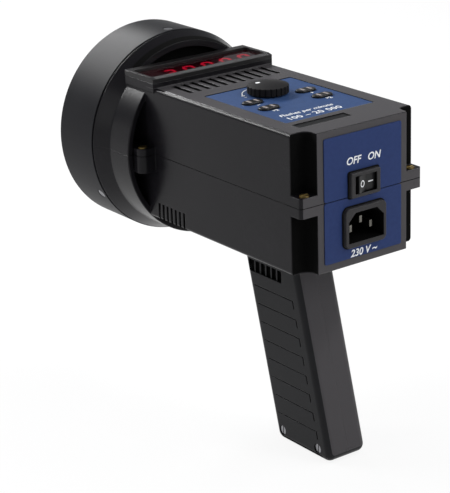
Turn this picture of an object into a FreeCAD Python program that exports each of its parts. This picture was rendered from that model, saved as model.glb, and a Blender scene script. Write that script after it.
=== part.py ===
import FreeCAD, Part
import math
import os

V = FreeCAD.Vector

# A hand-held xenon stroboscope. The lamp faces -Y along the lamp axis X = Z = 0, the origin is the
# centre of the lamp's mouth at the hood's front rim, and Z points up. Sizes are in millimetres.

# Clearances
gap_fit = 0.2
gap_slide = 0.3
gap_bore = 0.05
spill = 1.0
near = 0.01
weld = 0.5

# Hood and its lens
hood_r = 60.0
hood_length = 34.0
hood_wall = 2.5
rim_round = 0.8
ledge_front = 6.5
ledge_length = 2.5
ledge_width = 3.5
seal_thickness = 1.0
seal_setback = 0.5
lens_thickness = 2.5
ring_thickness = 1.5
ring_width = 2.2
hood_screw_setback = 5.0
hood_screw_count = 3

# Shroud: the round front of the casing
groove_width = 0.8
spigot_length = 20.0
spigot_wall = 2.8
band_length = 10.2
band_setback = 0.4
band_taper = 4.3
shroud_step = 0.3
shroud_length = 19.0
shroud_wall = 3.0
shroud_round = 0.6
bulkhead_thickness = 3.0
pocket_depth = 3.5
pocket_wall = 2.0

# Body box of the casing
case_wall = 2.5
body_half_width = 41.5
body_top = 40.0
body_bottom = -37.0
body_end = 202.0
seam_z = 1.5
top_edge_round = 2.5
bottom_edge_round = 2.0
rear_edge_round = 0.8
notch_width = 11.0
notch_depth = 8.5
notch_round = 5.0

# Screw ledges and lugs on the seam
ledge_half_height = 5.5
ledge_screw_inset = 5.3
ledge_screw_setback = 3.8
ledge_corner_round = 2.0
lug_reach = 5.5
lug_setback = 3.3
lug_r = 4.2
lug_rise = 4.3
lug_drop = 10.0
screw_head_r = 2.6
screw_head_height = 1.8
screw_head_proud = 0.5
screw_shank_r = 1.4
screw_length = 9.0
screw_slot_width = 0.7
screw_slot_depth = 0.8

# Display housing on top
housing_proud = 0.5
housing_length = 28.0
housing_rise = 5.8
housing_wall = 2.2
bezel_height = 3.0
bezel_lip = 1.5
bezel_skirt = 1.0
bezel_slope_length = 3.0
bezel_slope_drop = 0.7
window_side_margin = 2.0
window_front_margin = 5.3
window_rear_margin = 3.2
window_round = 2.0
window_thickness = 1.2
digit_count = 6
digit_side_margin = 0.7
digit_gap = 0.1
digit_end_margin = 0.25
digit_height = 6.8
digit_drop = 0.5
board_thickness = 1.6
display_board_gap = 0.5
display_shelf_width = 3.0
display_shelf_thickness = 2.0

# Vents
top_vent_count = 11
top_vent_pitch = 6.1
top_vent_width = 2.9
top_vent_setback = 2.5
top_vent_length = 18.5
side_vent_count = 7
side_vent_pitch = 4.0
side_vent_width = 1.8
side_vent_setback = 9.4
side_vent_height = 10.0
side_vent_wrap = 6.0

# Control panel
panel_setback = 11.0
panel_rear_margin = 25.5
panel_side_margin = 11.5
panel_pocket = 0.8
panel_corner = 1.0
overlay_thickness = 0.5
knob_setback = 18.0
knob_r = 11.6
knob_height = 5.4
knob_dome = 1.3
knob_round = 0.4
knob_lift = 0.55
knob_grip_count = 24
knob_grip_r = 0.45
dot_r = 1.4
dot_offset = 5.6
dot_angle = 45.0
dot_thickness = 0.5
shaft_r = 3.0
bushing_wall = 1.1
bushing_proud = 0.25
shaft_seat = 1.0
knob_cap = 2.0
pot_r = 8.0
pot_height = 7.0
button_side_margin = 11.6
button_setback = 28.0
button_pitch = 14.3
button_length = 12.6
button_width = 6.6
button_proud = 0.8
button_flange = 1.0
button_flange_height = 1.3
button_travel = 0.8
tact_side = 6.0
tact_height = 3.6
control_board_drop = 8.0
control_board_margin = 3.0
post_r = 2.2

# Name plate behind the control panel
plate_rear_margin = 14.0
plate_length = 6.5
plate_width = 34.5

# Rear panel
rear_label_side_margin = 4.1
rear_label_top_margin = 4.0
rear_label_bottom_margin = 4.5
rear_label_gap = 0.25
label_corner = 1.2
switch_corner = 1.0
switch_z = 7.8
switch_half_width = 10.0
switch_half_height = 6.8
switch_body_inset = 0.8
switch_proud = 3.0
switch_depth = 14.0
switch_opening_half_width = 7.4
switch_opening_half_height = 4.9
rocker_half_length = 6.4
rocker_half_height = 4.7
rocker_crown = 5.0
rocker_dip = 0.9
rocker_taper = 0.6
rocker_shoulder = 0.8
rocker_keel = 3.0
rocker_keel_half = 2.2
rocker_tilt = 11.0
rocker_pivot_setback = 2.5
rocker_pin_r = 1.0
rocker_pin_reach = 0.8
terminal_width = 4.8
terminal_thickness = 0.8
terminal_length = 7.0
terminal_x = 5.0
edge_round = 0.6

# Mains inlet
inlet_z = -15.2
inlet_half_width = 14.0
inlet_half_height = 11.0
inlet_proud = 3.0
inlet_body_inset = 1.0
inlet_depth = 15.0
cavity_half_width = 12.1
cavity_half_height = 8.3
cavity_chamfer = 4.7
cavity_depth = 16.0
inlet_corner = 3.0
pin_pitch = 14.0
pin_offset = 4.0
pin_width = 2.0
pin_height = 4.0
pin_tip_setback = 4.6
pin_tail = 7.0
pin_round = 0.5

# Grip
grip_lean = 14.8
grip_half_width = 13.2
grip_front = 110.0
grip_depth = 47.8
grip_bottom = -157.5
grip_round = 4.0
grip_foot_round = 5.0
grip_wall = 2.4
grip_window_drop = 17.5
grip_window_height = 7.0
grip_window_length = 29.5
grip_window_inset = 4.0
grip_window_depth = 1.8
grip_window_rib_count = 5
grip_window_rib_width = 1.2
grip_window_rib_setback = 0.6
line_count = 8
line_drop = 7.5
line_end_rise = 6.1
line_width = 0.45
line_depth = 0.6
line_front_margin = 5.2
line_rear_margin = 9.0
slit_width = 0.8
slit_length = 4.8
slit_depth = 1.0
grip_screw_rise = 6.0
grip_screw_front = 6.2
grip_screw_rear_margin = 10.4
grip_boss_r = 4.5
grip_screw_recess = 0.6
grip_screw_end = 6.0
grip_bolt_spacing = 26.0
grip_bolt_x = 0.0
grip_block_height = 12.0

# Lamp
reflector_thickness = 1.2
reflector_mouth_gap = 4.5
reflector_bow = 14.0
reflector_middle_setback = 11.2
reflector_neck_r = 9.5
lamp_base_proud = 3.0
lamp_base_r = 13.0
lamp_flange_r = 17.0
lamp_flange_thickness = 3.0
tube_r = 2.5
tube_leg_x = 6.0
tube_reach = 16.0
clip_setback = 6.0
clip_length = 2.0
clip_wall = 0.7
lamp_pin_r = 1.0
lamp_pin_length = 7.0

# Main board and what it carries
main_board_rise = 6.5
main_board_side_gap = 4.0
main_board_front_gap = 14.0
main_board_rear_gap = 22.0
boss_r = 3.0
boss_inset = 5.0
core_side_gap = 14.0
core_setback = 38.0
core_stack = 28.0
core_height = 35.0
limb_half_width = 7.0
core_yoke = 7.0
coil_overhang = 6.7
cap_r = 9.0
cap_height = 30.0
cap_x = 23.0
cap_setback = 14.0
cap_count = 3
trigger_side = 13.0
trigger_height = 16.0
trigger_round = 1.0
trigger_margin = 7.0
trigger_sink_gap = 22.0
sink_margin = 2.0
sink_rear_gap = 38.0
sink_width = 12.0
sink_length = 30.0
sink_height = 22.0
sink_fin_count = 5
sink_fin = 1.6
sink_base = 2.5
fuse_margin = 7.0
fuse_rear_gap = 30.0
fuse_r = 2.5
fuse_length = 20.0
fuse_clip_width = 7.0
fuse_clip_length = 5.0
fuse_clip_height = 9.0
fuse_lift = 1.0

# Worked-out places
hood_bore_r = hood_r - hood_wall
spigot_r = hood_bore_r - gap_fit
spigot_bore_r = spigot_r - spigot_wall
band_front = hood_length + groove_width
band_end = band_front + band_length
band_front_r = hood_r - band_setback
band_rear_r = band_front_r - band_taper
shroud_r = band_rear_r - shroud_step
shroud_end = band_end + shroud_length
spigot_front = band_front - spigot_length
bulkhead_rear = band_end + bulkhead_thickness
body_inner_half = body_half_width - case_wall
body_inner_top = body_top - case_wall
body_inner_bottom = body_bottom + case_wall
body_inner_end = body_end - case_wall
notch_front = body_end - notch_depth
reach = body_end / 2
rear_half_width = body_half_width - notch_width
ledge_screw_x = body_half_width - ledge_screw_inset
ledge_screw_y = body_end - ledge_screw_setback
lug_x = body_half_width + lug_reach
lug_y = shroud_end + lug_setback
housing_half_width = body_half_width + housing_proud
housing_end = band_end + housing_length
housing_top = body_top + housing_rise
bezel_bottom = housing_top - bezel_height
window_top = housing_top - bezel_lip
window_half_width = housing_half_width - window_side_margin
window_front = band_end + window_front_margin
window_rear = housing_end - window_rear_margin
window_bottom = window_top - window_thickness
digit_y = (window_front + window_rear) / 2
digit_length = window_rear - window_front - 2 * digit_end_margin
digit_pitch = 2 * (window_half_width - digit_side_margin) / digit_count
digit_width = digit_pitch - digit_gap
display_board_half_width = body_inner_half - display_board_gap
top_vent_start = housing_end + top_vent_setback
top_vent_end = top_vent_start + top_vent_length
side_vent_start = shroud_end + side_vent_setback
side_vent_top = body_bottom + side_vent_height
panel_front = top_vent_end + panel_setback
panel_rear = body_end - panel_rear_margin
panel_half_width = body_half_width - panel_side_margin
knob_y = panel_front + knob_setback
button_x = panel_half_width - button_side_margin
button_front_y = panel_front + button_setback
button_rear_y = button_front_y + button_pitch
plate_rear = body_end - plate_rear_margin
plate_front = plate_rear - plate_length
plate_left = panel_half_width
plate_right = plate_left - plate_width
rear_label_half_width = rear_half_width - rear_label_side_margin
rear_label_top = body_top - rear_label_top_margin
rear_label_bottom = body_bottom + rear_label_bottom_margin
digit_top = window_bottom - digit_drop
display_board_top = digit_top - digit_height
display_board_bottom = display_board_top - board_thickness
panel_floor = body_top - panel_pocket
overlay_top = panel_floor + overlay_thickness
control_board_top = body_inner_top - control_board_drop
control_board_bottom = control_board_top - board_thickness
knob_bottom = body_top + knob_lift
knob_top = knob_bottom + knob_height
button_top = body_top + button_proud
tact_top = control_board_top + tact_height
button_bottom = tact_top + button_travel + gap_bore * 2
main_board_bottom = body_inner_bottom + main_board_rise
main_board_top = main_board_bottom + board_thickness
rocker_pivot_y = body_end - rocker_pivot_setback
inlet_front = body_end + inlet_proud
cavity_floor = inlet_front - cavity_depth
grip_slope = math.tan(math.radians(grip_lean))
grip_length = body_bottom - grip_bottom
grip_window_top = body_bottom - grip_window_drop
grip_screw_rear = grip_depth - grip_screw_rear_margin
grip_screw_seat = grip_half_width - screw_head_height - grip_screw_recess
grip_screw_length = 2 * grip_half_width - grip_screw_end
line_first = grip_window_top - grip_window_height - line_drop
line_pitch = (line_first - grip_bottom - line_end_rise) / line_count
reflector_mouth_r = spigot_bore_r - reflector_mouth_gap
reflector_middle_r = reflector_mouth_r - reflector_bow
lamp_base_front = band_end - lamp_base_proud
reflector_middle_y = lamp_base_front - reflector_middle_setback
tube_bend_y = lamp_base_front - tube_reach
clip_y = lamp_base_front - clip_setback
main_board_half_width = body_inner_half - main_board_side_gap
main_board_front = bulkhead_rear + main_board_front_gap
main_board_rear = body_end - main_board_rear_gap
core_half_width = main_board_half_width - core_side_gap
core_front = main_board_front + core_setback
cap_y = main_board_front + cap_setback
trigger_x = trigger_margin - main_board_half_width
sink_x = sink_margin - main_board_half_width
sink_y = main_board_rear - sink_rear_gap
trigger_y = sink_y - trigger_sink_gap
fuse_x = main_board_half_width - fuse_margin
fuse_y = main_board_rear - fuse_rear_gap


def box(x0, x1, y0, y1, z0, z1):
    return Part.makeBox(x1 - x0, y1 - y0, z1 - z0, V(x0, y0, z0))


def rod(radius, start, end):
    start, end = V(*start), V(*end)
    return Part.makeCylinder(radius, (end - start).Length, start, end - start)


def prism(points, direction):
    face = Part.Face(Part.makePolygon([V(*p) for p in points] + [V(*points[0])]))
    return face.extrude(V(*direction))


def turned(profile):
    # The profile is a closed list of radius and Y pairs, turned about the lamp axis.
    points = [V(r, y, 0) for r, y in profile]
    face = Part.Face(Part.makePolygon(points + [points[0]]))
    return face.revolve(V(0, 0, 0), V(0, 1, 0), 360)


def joined(shapes):
    return shapes[0].multiFuse(shapes[1:]).removeSplitter()


def without(shape, tools):
    return shape.cut(tools)


def rounded(shape, radius, chosen):
    edges = [e for e in shape.Edges if chosen(e)]
    return shape.makeFillet(radius, edges)


def along(edge, axis):
    # True for a straight edge that runs along the axis named x, y or z.
    if not isinstance(edge.Curve, Part.Line):
        return False
    step = edge.Vertexes[-1].Point - edge.Vertexes[0].Point
    return abs(getattr(step, axis)) > 0.999 * step.Length


def rounded_block(x0, x1, y0, y1, z0, z1, radius, axis):
    return rounded(box(x0, x1, y0, y1, z0, z1), radius, lambda e: along(e, axis))


def stadium(length, width, x, y, z0, z1):
    half = (length - width) / 2
    bar = box(x - half, x + half, y - width / 2, y + width / 2, z0, z1)
    ends = [rod(width / 2, (x + s * half, y, z0), (x + s * half, y, z1)) for s in (-1, 1)]
    return joined([bar] + ends)


def save(name, shape):
    if isinstance(shape, list):
        shape = Part.makeCompound(shape)
    if not shape.isValid() or not shape.Solids:
        raise ValueError(name + " is not a valid solid")
    shape.exportStep("parts/" + name + ".step")
    print(name, len(shape.Solids), round(shape.Volume))


def upper_half(shape):
    return shape.common(box(-reach, reach, -reach, 3 * reach, seam_z, 3 * reach))


def lower_half(shape):
    return shape.common(box(-reach, reach, -reach, 3 * reach, -3 * reach, seam_z))


# Screws: a slotted pan head on a plain shank, with its head on the +Z side
def screw(length):
    head = rod(screw_head_r, (0, 0, 0), (0, 0, screw_head_height))
    shank = rod(screw_shank_r, (0, 0, -length), (0, 0, 0))
    body = joined([head, shank])
    half = screw_slot_width / 2
    low = screw_head_height - screw_slot_depth
    slot = box(-screw_head_r - spill, screw_head_r + spill, -half, half, low, screw_head_height + spill)
    return without(body, [slot])


def placed(shape, position, direction=(0, 0, 1)):
    copy = shape.copy()
    turn = FreeCAD.Rotation(V(0, 0, 1), V(*direction))
    copy.Placement = FreeCAD.Placement(V(*position), turn)
    return copy


def screw_hole(length, position, direction=(0, 0, 1), open_length=reach):
    head = rod(screw_head_r + gap_fit, (0, 0, 0), (0, 0, open_length))
    shank = rod(screw_shank_r + gap_bore, (0, 0, -length - gap_slide), (0, 0, 0))
    return placed(joined([head, shank]), position, direction)


lug_screw_seat = seam_z + lug_rise - screw_head_height + screw_head_proud
ledge_screw_seat = seam_z + ledge_half_height - screw_head_height + screw_head_proud
case_screw_places = [(s * lug_x, lug_y, lug_screw_seat) for s in (1, -1)]
case_screw_places += [(s * ledge_screw_x, ledge_screw_y, ledge_screw_seat) for s in (1, -1)]


# Round front of the casing, bulkhead and pocket above the display housing
def shroud():
    inner_step = spigot_bore_r - shroud_wall
    shell = turned([
        (spigot_bore_r, spigot_front), (spigot_r, spigot_front), (spigot_r, band_front),
        (band_front_r, band_front), (band_rear_r, band_end), (shroud_r, band_end + groove_width),
        (shroud_r, shroud_end), (shroud_r - shroud_wall, shroud_end),
        (shroud_r - shroud_wall, bulkhead_rear), (lamp_base_r + gap_fit, bulkhead_rear),
        (lamp_base_r + gap_fit, band_end), (inner_step, band_end),
        (spigot_bore_r, band_end - bulkhead_thickness * 2)])
    rim = [e for e in shell.Edges
           if e.BoundBox.YMin > shroud_end - near and e.BoundBox.XMax > shroud_r - near]
    shell = shell.makeFillet(shroud_round, rim)
    above = box(-housing_half_width, housing_half_width, band_end, housing_end, bezel_bottom, reach)
    shell = without(shell, [above])
    wall_rear = band_end - pocket_depth
    wall = rod(spigot_bore_r + weld, (0, wall_rear - pocket_wall, 0), (0, wall_rear, 0))
    floor_z = bezel_bottom - housing_wall
    wall = wall.common(box(-reach, reach, 0, reach, floor_z, reach))
    shelf = rod(spigot_bore_r + weld, (0, wall_rear - pocket_wall, 0), (0, band_end, 0))
    shelf = shelf.common(box(-reach, reach, 0, reach, floor_z, bezel_bottom))
    return joined([shell, wall, shelf])


def body_outer():
    block = box(-body_half_width, body_half_width, band_end, body_end, body_bottom, body_top)
    block = rounded(block, top_edge_round, lambda e: along(e, "y") and e.BoundBox.ZMin > 0)
    block = rounded(block, bottom_edge_round, lambda e: along(e, "y") and e.BoundBox.ZMax < 0)
    return rounded(block, rear_edge_round, lambda e: e.BoundBox.YMin > body_end - near)


def notch(side, grow=0.0):
    x0 = rear_half_width - grow
    y0 = notch_front - grow
    block = box(x0, reach, y0, 3 * reach, -reach, reach)
    corner = [e for e in block.Edges
              if along(e, "z") and e.BoundBox.XMax < x0 + near and e.BoundBox.YMax < y0 + near]
    block = block.makeFillet(notch_round, corner)
    if side < 0:
        block = block.mirror(V(0, 0, 0), V(1, 0, 0))
    return block


def ledge(side):
    x = sorted((side * (rear_half_width - case_wall), side * body_half_width))
    block = box(x[0], x[1], notch_front - case_wall, body_end,
                seam_z - ledge_half_height, seam_z + ledge_half_height)
    outer = side * body_half_width
    corner = [e for e in block.Edges
              if along(e, "z") and abs(e.BoundBox.XMax - outer) < near and e.BoundBox.YMin > body_end - near]
    return block.makeFillet(ledge_corner_round, corner)


def lug(side):
    low, high = seam_z - lug_drop, seam_z + lug_rise
    post = rod(lug_r, (side * lug_x, lug_y, low), (side * lug_x, lug_y, high))
    x = sorted((side * (body_half_width - weld), side * lug_x))
    web = box(x[0], x[1], lug_y - lug_r, lug_y + lug_r, low, high)
    x = sorted((side * (lug_x - lug_r), side * (lug_x + lug_r)))
    arm = box(x[0], x[1], bulkhead_rear, lug_y, low, high)
    arm = arm.common(rod(shroud_r - shroud_wall + weld, (0, 0, 0), (0, body_end, 0)))
    return joined([post, web, arm])


def body_void():
    cavity = box(-body_inner_half, body_inner_half, bulkhead_rear, body_inner_end,
                 body_inner_bottom, body_inner_top)
    cavity = without(cavity, [notch(1, case_wall), notch(-1, case_wall)])
    blocks = [ledge(1), ledge(-1)]
    return without(cavity, blocks)


def casing():
    outer = body_outer()
    outer = without(outer, [notch(1), notch(-1)])
    housing = box(-housing_half_width, housing_half_width, band_end, housing_end,
                  body_inner_top, bezel_bottom)
    solid = joined([outer, housing, shroud(), ledge(1), ledge(-1), lug(1), lug(-1)])
    lamp_hole = rod(lamp_base_r + gap_fit, (0, band_end - spill, 0), (0, bulkhead_rear + spill, 0))
    shroud_side = digit_count * digit_pitch / 2 + gap_slide
    display_hole = box(-shroud_side, shroud_side, digit_y - digit_length / 2 - gap_slide,
                       digit_y + digit_length / 2 + gap_slide, display_board_bottom - gap_fit, reach)
    solid = without(solid, [body_void(), lamp_hole, display_hole])
    holes = [screw_hole(screw_length, place) for place in case_screw_places]
    return without(solid, holes + hood_screw_holes())


def hood_screw_holes():
    holes = []
    for turn in hood_screw_turns():
        position, direction = hood_screw_place(turn)
        holes.append(screw_hole(screw_length, position, direction))
    return holes


def hood_screw_turns():
    return [90 + 360 * i / hood_screw_count for i in range(hood_screw_count)]


def hood_screw_place(turn):
    out = (math.cos(math.radians(turn)), 0, math.sin(math.radians(turn)))
    seat = hood_r - screw_head_height - gap_fit
    return (out[0] * seat, hood_length - hood_screw_setback, out[2] * seat), out


def top_vents():
    start = -(top_vent_count - 1) / 2 * top_vent_pitch
    slots = []
    for i in range(top_vent_count):
        x = start + i * top_vent_pitch
        slots.append(box(x - top_vent_width / 2, x + top_vent_width / 2, top_vent_start, top_vent_end,
                         body_inner_top - spill, body_top + spill))
    return slots


def side_vents():
    slots = []
    for side in (1, -1):
        x = sorted((side * (body_half_width - side_vent_wrap), side * (body_half_width + spill)))
        for i in range(side_vent_count):
            y = side_vent_start + i * side_vent_pitch
            slots.append(box(x[0], x[1], y - side_vent_width / 2, y + side_vent_width / 2,
                             body_bottom - spill, side_vent_top))
    return slots


def button_places():
    return {"button_down": (button_x, button_front_y), "button_up": (-button_x, button_front_y),
            "button_halve": (button_x, button_rear_y), "button_double": (-button_x, button_rear_y)}


def control_board_posts():
    x = panel_half_width - control_board_margin - post_r
    return [(s * x, y) for s in (1, -1) for y in (panel_front + control_board_margin + post_r,
                                                  panel_rear - control_board_margin - post_r)]


def upper_casing():
    shape = upper_half(casing())
    cuts = top_vents()
    cuts.append(rounded_block(-panel_half_width - gap_fit, panel_half_width + gap_fit, panel_front - gap_fit,
                              panel_rear + gap_fit, panel_floor, body_top + spill, panel_corner, "z"))
    cuts.append(box(plate_right - gap_fit, plate_left + gap_fit, plate_front - gap_fit, plate_rear + gap_fit,
                    panel_floor, body_top + spill))
    for x, y in button_places().values():
        cuts.append(stadium(button_length + 2 * gap_slide, button_width + 2 * gap_slide, x, y,
                            body_inner_top - spill, body_top + spill))
    bushing_r = shaft_r + gap_bore + bushing_wall
    cuts.append(rod(bushing_r + gap_fit, (0, knob_y, body_inner_top - spill), (0, knob_y, body_top + spill)))
    half = switch_half_width - switch_body_inset + gap_fit
    cuts.append(box(-half, half, body_inner_end - spill, body_end + spill, seam_z - spill,
                    switch_z + switch_half_height - switch_body_inset + gap_fit))
    shape = without(shape, cuts)
    posts = [rod(post_r, (x, y, control_board_top), (x, y, body_inner_top)) for x, y in control_board_posts()]
    shelves = []
    for side in (1, -1):
        x = sorted((side * (display_board_half_width - display_shelf_width), side * body_inner_half))
        shelves.append(box(x[0], x[1], digit_y - digit_length / 2, digit_y + digit_length / 2,
                           display_board_bottom - display_shelf_thickness, display_board_bottom))
    return joined([shape] + posts + shelves)


def boss_places():
    x = main_board_half_width - boss_inset
    rows = (main_board_front + boss_inset, main_board_rear - boss_inset)
    return [(s * x, y) for s in (1, -1) for y in rows]


def grip_bolt_places():
    middle = grip_front + grip_depth / 2
    return [(grip_bolt_x, middle + s * grip_bolt_spacing / 2) for s in (1, -1)]


def lower_casing():
    shape = lower_half(casing())
    half = inlet_half_width - inlet_body_inset + gap_fit
    high = inlet_half_height - inlet_body_inset + gap_fit
    cuts = side_vents()
    cuts.append(box(-half, half, body_inner_end - spill, body_end + spill, inlet_z - high, inlet_z + high))
    half = switch_half_width - switch_body_inset + gap_fit
    cuts.append(box(-half, half, body_inner_end - spill, body_end + spill,
                    switch_z - switch_half_height + switch_body_inset - gap_fit, seam_z + spill))
    for x, y in grip_bolt_places():
        cuts.append(screw_hole(screw_length, (x, y, body_inner_bottom), open_length=screw_head_height))
    shape = without(shape, cuts)
    bosses = [rod(boss_r, (x, y, body_inner_bottom), (x, y, main_board_bottom)) for x, y in boss_places()]
    return joined([shape] + bosses)


# Hood, lens and their ring and seal
def hood():
    shape = turned([
        (hood_r, 0), (hood_r, hood_length), (hood_bore_r, hood_length),
        (hood_bore_r, ledge_front + ledge_length), (hood_bore_r - ledge_width, ledge_front + ledge_length),
        (hood_bore_r - ledge_width, ledge_front), (hood_bore_r, ledge_front), (hood_bore_r, 0)])
    rim = [e for e in shape.Edges if e.BoundBox.YMax < near and e.BoundBox.XMax > hood_r - near]
    shape = shape.makeFillet(rim_round, rim)
    return without(shape, hood_screw_holes())


def lens_parts():
    outer = hood_bore_r - gap_fit
    seal_inner = hood_bore_r - ledge_width + seal_setback
    seal_front = ledge_front - seal_thickness
    lens_front = seal_front - lens_thickness
    ring_front = lens_front - ring_thickness
    save("lens_seal", turned([(seal_inner, seal_front), (outer, seal_front),
                              (outer, ledge_front), (seal_inner, ledge_front)]))
    save("front_lens", rod(outer, (0, lens_front, 0), (0, seal_front, 0)))
    save("lens_ring", turned([(outer - ring_width, ring_front), (outer, ring_front),
                              (outer, lens_front), (outer - ring_width, lens_front)]))


# Reflector bowl and the lamp on its base
def reflector():
    thick = reflector_thickness
    mouth = spigot_front
    flange_r = spigot_r - gap_fit
    inner = Part.Arc(V(reflector_neck_r, lamp_base_front - thick, 0),
                     V(reflector_middle_r, reflector_middle_y, 0), V(reflector_mouth_r, mouth, 0))
    outer = Part.Arc(V(reflector_mouth_r + thick, mouth, 0),
                     V(reflector_middle_r + thick, reflector_middle_y + thick, 0),
                     V(reflector_neck_r, lamp_base_front, 0))
    corners = [V(reflector_mouth_r, mouth, 0), V(reflector_mouth_r, mouth - thick, 0),
               V(flange_r, mouth - thick, 0), V(flange_r, mouth, 0), V(reflector_mouth_r + thick, mouth, 0)]
    edges = [inner.toShape()]
    edges += [Part.LineSegment(a, b).toShape() for a, b in zip(corners, corners[1:])]
    edges += [outer.toShape()]
    edges += [Part.LineSegment(V(reflector_neck_r, lamp_base_front, 0),
                               V(reflector_neck_r, lamp_base_front - thick, 0)).toShape()]
    face = Part.Face(Part.Wire(edges))
    return face.revolve(V(0, 0, 0), V(0, 1, 0), 360)


def flash_tube():
    legs = [rod(tube_r, (s * tube_leg_x, tube_bend_y, 0), (s * tube_leg_x, lamp_base_front, 0))
            for s in (1, -1)]
    bend = Part.makeTorus(tube_leg_x, tube_r, V(0, tube_bend_y, 0), V(0, 0, 1))
    bend = bend.common(box(-reach, reach, 0, tube_bend_y, -reach, reach))
    return joined(legs + [bend])


def trigger_clip():
    inner = tube_r + 2 * gap_bore
    clip_rear = clip_y + clip_length
    rings = []
    bores = []
    for side in (1, -1):
        x = side * tube_leg_x
        rings.append(rod(inner + clip_wall, (x, clip_y, 0), (x, clip_rear, 0)))
        bores.append(rod(inner, (x, clip_y - spill, 0), (x, clip_rear + spill, 0)))
    bar = box(-tube_leg_x, tube_leg_x, clip_y, clip_rear, -clip_wall, clip_wall)
    return without(joined(rings + [bar]), bores)


def lamp():
    save("reflector", reflector())
    save("flash_tube", flash_tube())
    save("trigger_clip", trigger_clip())
    flange_rear = bulkhead_rear + lamp_flange_thickness
    base = joined([rod(lamp_base_r, (0, lamp_base_front, 0), (0, bulkhead_rear, 0)),
                   rod(lamp_flange_r, (0, bulkhead_rear, 0), (0, flange_rear, 0))])
    save("lamp_base", base)
    save("lamp_pins", [rod(lamp_pin_r, (s * tube_leg_x, flange_rear, 0),
                           (s * tube_leg_x, flange_rear + lamp_pin_length, 0)) for s in (1, -1)])


# Display: bezel frame, red window, digits and their board
def display_bezel():
    frame = box(-housing_half_width, housing_half_width, band_end, housing_end, bezel_bottom, housing_top)
    slope = prism([(-reach, housing_end - bezel_slope_length, housing_top),
                   (-reach, housing_end + spill, housing_top),
                   (-reach, housing_end + spill, housing_top - bezel_slope_drop),
                   (-reach, housing_end, housing_top - bezel_slope_drop)], (2 * reach, 0, 0))
    opening = rounded_block(-window_half_width, window_half_width, window_front, window_rear - gap_fit,
                            bezel_bottom - spill, housing_top + spill, window_round, "z")
    rebate = box(-housing_half_width + bezel_skirt, housing_half_width - bezel_skirt,
                 band_end + housing_wall, housing_end - bezel_slope_length,
                 bezel_bottom - spill, window_top)
    return without(frame, [slope, opening, rebate])


def display():
    save("display_bezel", display_bezel())
    half = housing_half_width - bezel_skirt - gap_fit
    save("display_window", box(-half, half, band_end + housing_wall + gap_fit,
                               housing_end - bezel_slope_length - gap_fit, window_bottom, window_top))
    digits = []
    start = -(digit_count - 1) / 2 * digit_pitch
    for i in range(digit_count):
        x = start + i * digit_pitch
        digits.append(box(x - digit_width / 2, x + digit_width / 2, digit_y - digit_length / 2,
                          digit_y + digit_length / 2, display_board_top, digit_top))
    save("digit_modules", digits)
    save("display_board", box(-display_board_half_width, display_board_half_width, digit_y - digit_length / 2,
                              digit_y + digit_length / 2, display_board_bottom, display_board_top))


# Control panel: overlay, board, knob on its shaft and four buttons on their switches
def panel_overlay():
    sheet = rounded_block(-panel_half_width, panel_half_width, panel_front, panel_rear, panel_floor,
                          overlay_top, panel_corner, "z")
    cuts = [stadium(button_length + 2 * gap_slide, button_width + 2 * gap_slide, x, y, panel_floor - spill,
                    overlay_top + spill) for x, y in button_places().values()]
    bushing_r = shaft_r + gap_bore + bushing_wall
    cuts.append(rod(bushing_r + gap_fit, (0, knob_y, panel_floor - spill), (0, knob_y, overlay_top + spill)))
    return without(sheet, cuts)


def knob_blank():
    # A short drum with a slightly domed top.
    rim = knob_top - knob_dome
    drum = rod(knob_r, (0, knob_y, knob_bottom), (0, knob_y, knob_top))
    ball_r = (knob_r ** 2 + knob_dome ** 2) / (2 * knob_dome)
    ball = Part.makeSphere(ball_r, V(0, knob_y, knob_top - ball_r))
    drum = drum.common(ball)
    return rounded(drum, knob_round, lambda e: e.BoundBox.ZLength < near and e.BoundBox.ZMin > rim - near)


def knob():
    shape = knob_blank()
    flutes = []
    for i in range(knob_grip_count):
        turn = 2 * math.pi * i / knob_grip_count
        x, y = knob_r * math.cos(turn), knob_y + knob_r * math.sin(turn)
        flutes.append(rod(knob_grip_r, (x, y, knob_bottom - spill), (x, y, knob_top + spill)))
    bore = rod(shaft_r, (0, knob_y, knob_bottom - spill), (0, knob_y, knob_top - knob_cap))
    dot_x, dot_y = dot_place()
    pocket = rod(dot_r, (dot_x, dot_y, dot_floor()), (dot_x, dot_y, knob_top + spill))
    return without(shape, flutes + [bore, pocket])


def knob_pointer():
    dot_x, dot_y = dot_place()
    pin = rod(dot_r, (dot_x, dot_y, dot_floor()), (dot_x, dot_y, knob_top))
    return pin.common(knob_blank())


def dot_floor():
    return knob_top - dot_thickness - knob_dome * (dot_offset / knob_r) ** 2


def dot_place():
    turn = math.radians(dot_angle)
    return dot_offset * math.sin(turn), knob_y - dot_offset * math.cos(turn)


def button(x, y):
    cap = stadium(button_length, button_width, x, y, button_bottom, button_top)
    cap = rounded(cap, edge_round, lambda e: e.BoundBox.ZMin > button_top - near)
    flange_top = body_inner_top - gap_slide
    wider = 2 * button_flange + 2 * gap_slide
    flange = stadium(button_length + wider, button_width + wider, x, y,
                     flange_top - button_flange_height, flange_top)
    return joined([cap, flange])


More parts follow.
